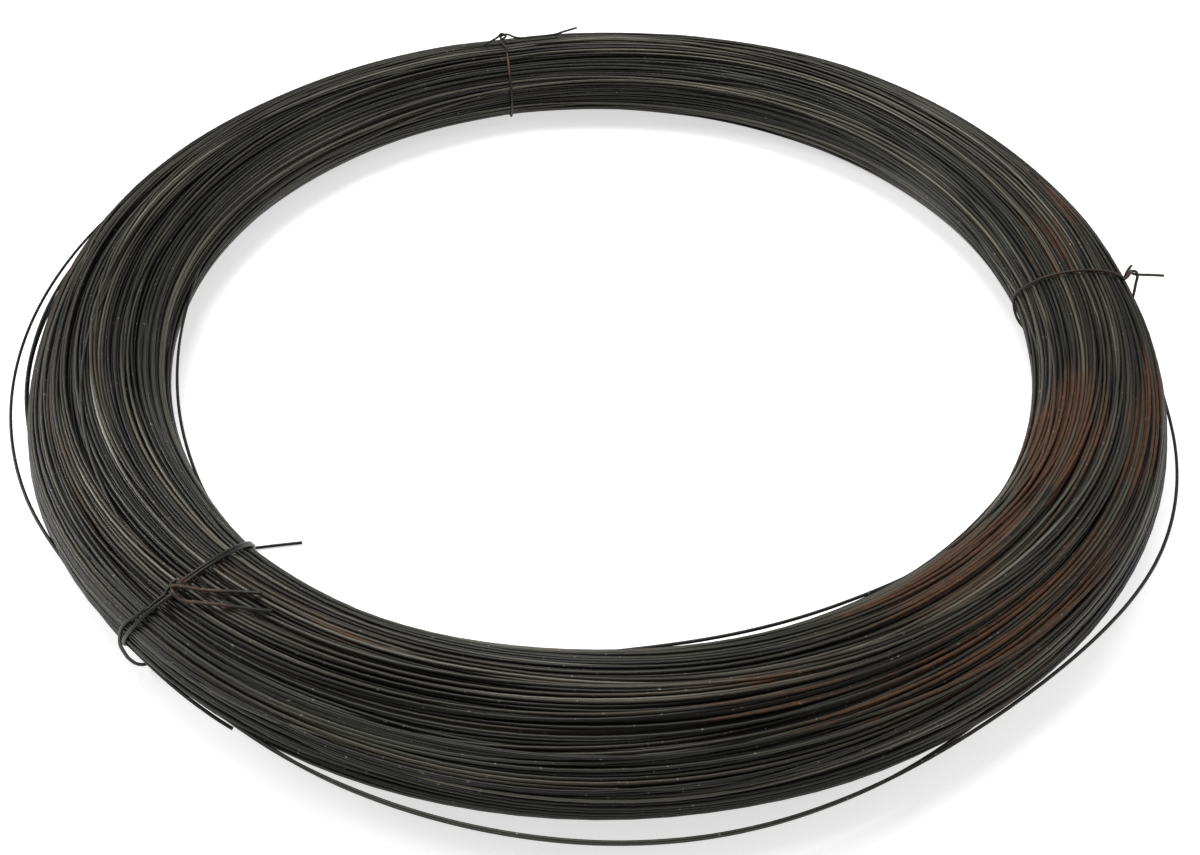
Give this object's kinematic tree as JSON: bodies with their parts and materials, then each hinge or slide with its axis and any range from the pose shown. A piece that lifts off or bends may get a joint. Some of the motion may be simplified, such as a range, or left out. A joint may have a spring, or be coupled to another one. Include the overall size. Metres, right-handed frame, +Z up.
{
  "type": "coil of annealed wire",
  "caption": "Open round coil of soft annealed tie wire lying flat, wound in loose parallel turns and held by wire ties round the bundle.",
  "frame": {"origin": "on the coil's axis, at the floor that the coil lies on", "axes": "+Z up along the coil's axis; +X towards the right tie; the front of the coil as pictured faces -Y"},
  "size_m": [0.6722, 0.6415, 0.0632],
  "materials": {
    "annealed_wire": "soft annealed steel wire, black-grey oxide, semi-matt, with patches of brown rust",
    "tie_wire": "the same annealed wire, slightly rusted"
  },
  "bodies": {
    "root": {"wire_coil": "annealed_wire", "tie_back": "tie_wire", "tie_right": "tie_wire", "tie_front_left": "tie_wire"}
  },
  "joints": []
}
